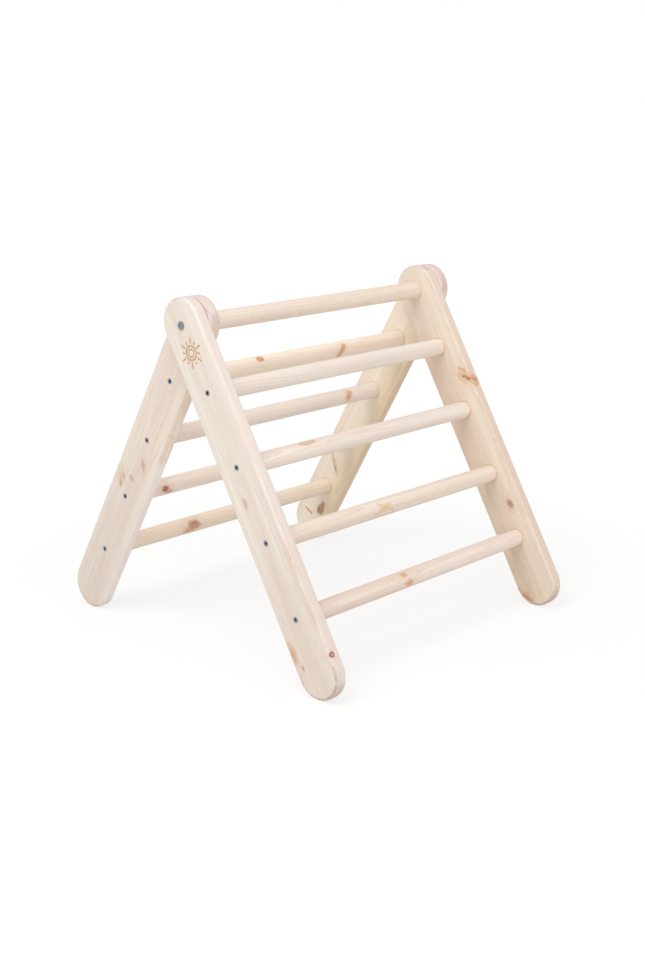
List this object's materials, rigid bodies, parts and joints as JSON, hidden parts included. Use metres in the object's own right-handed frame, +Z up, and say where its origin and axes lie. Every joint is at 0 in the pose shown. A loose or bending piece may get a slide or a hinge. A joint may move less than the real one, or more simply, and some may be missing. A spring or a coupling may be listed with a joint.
{
  "type": "folding climbing triangle",
  "caption": "Child's wooden climbing triangle: two dowel-rung ladders with round-ended rails, hinged at a shared top rung so that the A-frame folds and opens flat.",
  "frame": {"origin": "on the floor, centred under the pivot axis, which is also the centre of the bottom of the box", "axes": "+X along the rungs, -Y to the front ladder's feet, +Y to the rear ladder's feet, +Z up"},
  "size_m": [0.5744, 0.614, 0.5443],
  "materials": {
    "rail_wood": "planed and sanded pale pine, matt clear oil",
    "rung_wood": "turned and sanded pale pine dowel, matt clear oil",
    "zinc_steel": "blue-grey zinc plate, satin",
    "insert_brass": "as turned"
  },
  "bodies": {
    "front_ladder": {"front_left_rail": "rail_wood", "front_right_rail": "rail_wood", "front_rung_1": "rung_wood", "front_rung_2": "rung_wood", "front_rung_3": "rung_wood", "front_rung_4": "rung_wood", "top_rung": "rung_wood", "front_left_screws": "zinc_steel", "front_right_screws": "zinc_steel", "pivot_bolt_left": "zinc_steel", "pivot_bolt_right": "zinc_steel", "spacer_washer_left": "zinc_steel", "spacer_washer_right": "zinc_steel", "threaded_insert_left": "insert_brass", "threaded_insert_right": "insert_brass"},
    "rear_ladder": {"rear_left_rail": "rail_wood", "rear_right_rail": "rail_wood", "rear_rung_1": "rung_wood", "rear_rung_2": "rung_wood", "rear_rung_3": "rung_wood", "rear_rung_4": "rung_wood", "rear_left_screws": "zinc_steel", "rear_right_screws": "zinc_steel"}
  },
  "joints": [
    {"name": "fold", "type": "hinge", "parent": "front_ladder", "child": "rear_ladder", "pos_m": [0, 0, 0.50319], "axis": [1, 0, 0], "range_deg": [-29, 120]}
  ]
}
